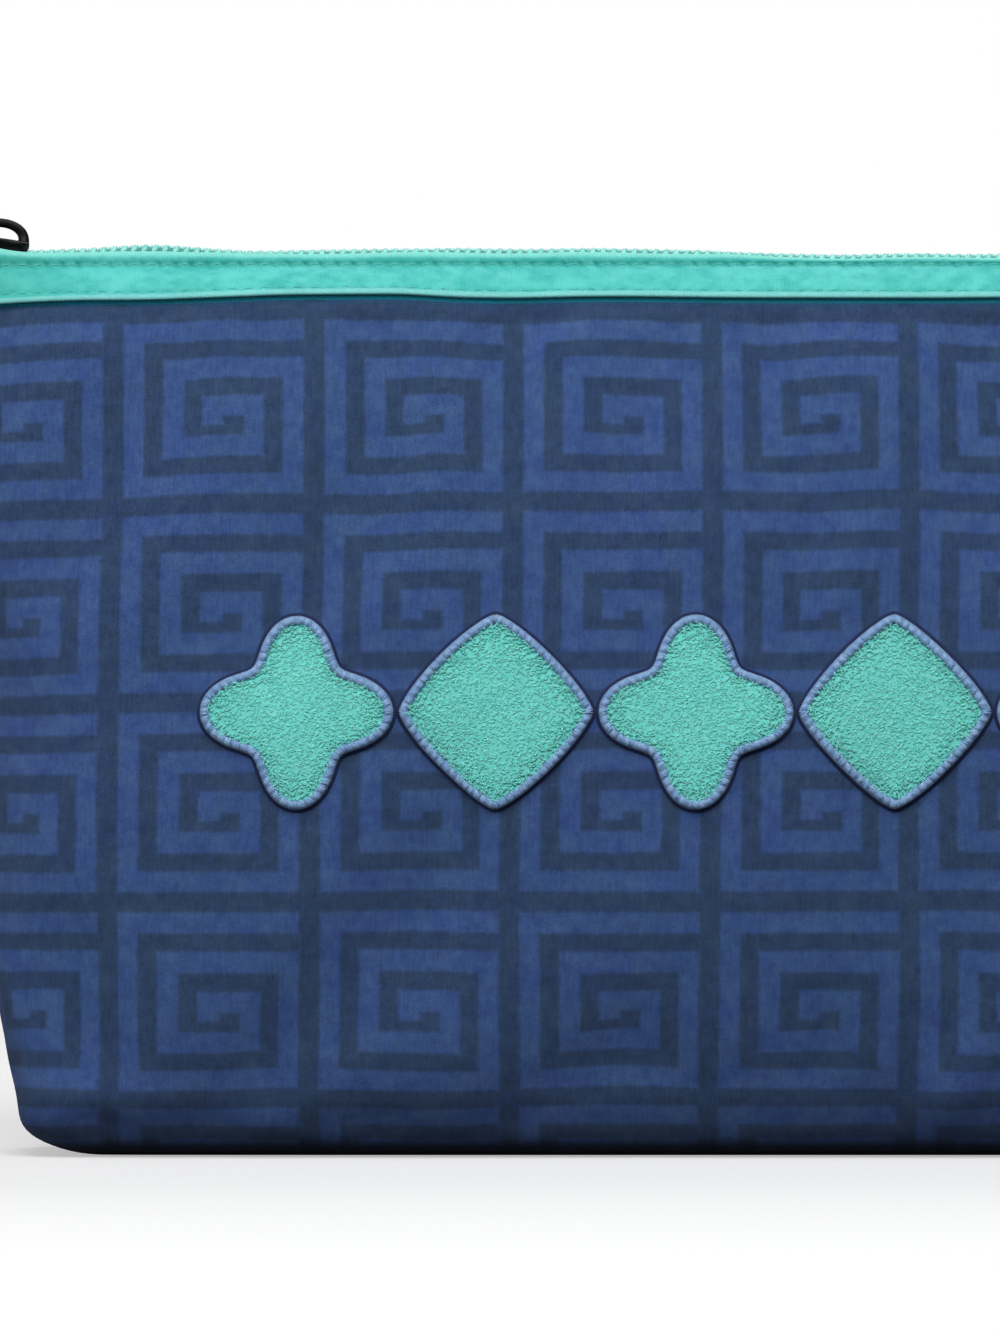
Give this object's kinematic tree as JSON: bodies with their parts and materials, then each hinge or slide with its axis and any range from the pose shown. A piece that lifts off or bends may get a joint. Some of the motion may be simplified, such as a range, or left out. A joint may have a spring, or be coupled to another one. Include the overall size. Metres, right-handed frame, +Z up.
{
  "type": "mahjong tile pouch",
  "caption": "Soft zipped cloth pouch for mahjong tiles, standing on a boxed base, with a Greek key print, a turquoise zip along the top and a row of raised motifs.",
  "frame": {"origin": "middle of the flat base, on the floor", "axes": "+Z up, the front with the motifs faces -Y, +X to the right seen from the front; the closed slider is at the -X end"},
  "size_m": [0.3815, 0.0587, 0.1797],
  "materials": {
    "printed_canvas": "dark blue woven cloth with a two-tone Greek key print",
    "lining_nylon": "thin plain lining",
    "zip_tape_turquoise": "woven zip tape",
    "coil_turquoise": "nylon coil",
    "slider_black": "black enamel",
    "seam_binding": "woven binding tape",
    "towelling_turquoise": "looped towelling",
    "border_blue": "satin stitching"
  },
  "bodies": {
    "pouch": {"front_panel": "printed_canvas", "back_panel": "printed_canvas", "front_lining": "lining_nylon", "back_lining": "lining_nylon", "front_zip_tape": "zip_tape_turquoise", "back_zip_tape": "zip_tape_turquoise", "front_teeth": "coil_turquoise", "back_teeth": "coil_turquoise", "front_top_stop": "slider_black", "back_top_stop": "slider_black", "bottom_stop": "slider_black", "left_side_binding": "seam_binding", "right_side_binding": "seam_binding", "left_corner_binding": "seam_binding", "right_corner_binding": "seam_binding", "base_binding": "seam_binding", "motif_1": "towelling_turquoise", "motif_border_1": "border_blue", "motif_2": "towelling_turquoise", "motif_border_2": "border_blue", "motif_3": "towelling_turquoise", "motif_border_3": "border_blue", "motif_4": "towelling_turquoise", "motif_border_4": "border_blue", "motif_5": "towelling_turquoise", "motif_border_5": "border_blue", "motif_6": "towelling_turquoise", "motif_border_6": "border_blue", "motif_7": "towelling_turquoise", "motif_border_7": "border_blue"},
    "slider": {"slider_body": "slider_black"},
    "puller": {"pull_tab": "slider_black"}
  },
  "joints": [
    {"name": "zip_slide", "type": "slide", "parent": "pouch", "child": "slider", "axis": [1, 0, 0], "range_m": [0, 0.342], "deforming": ["front_teeth", "back_teeth"]},
    {"name": "pull_tab_hinge", "type": "hinge", "parent": "slider", "child": "puller", "pos_m": [-0.17257, 0, 0.1769], "axis": [0, 1, 0], "range_deg": [0, 188]}
  ]
}
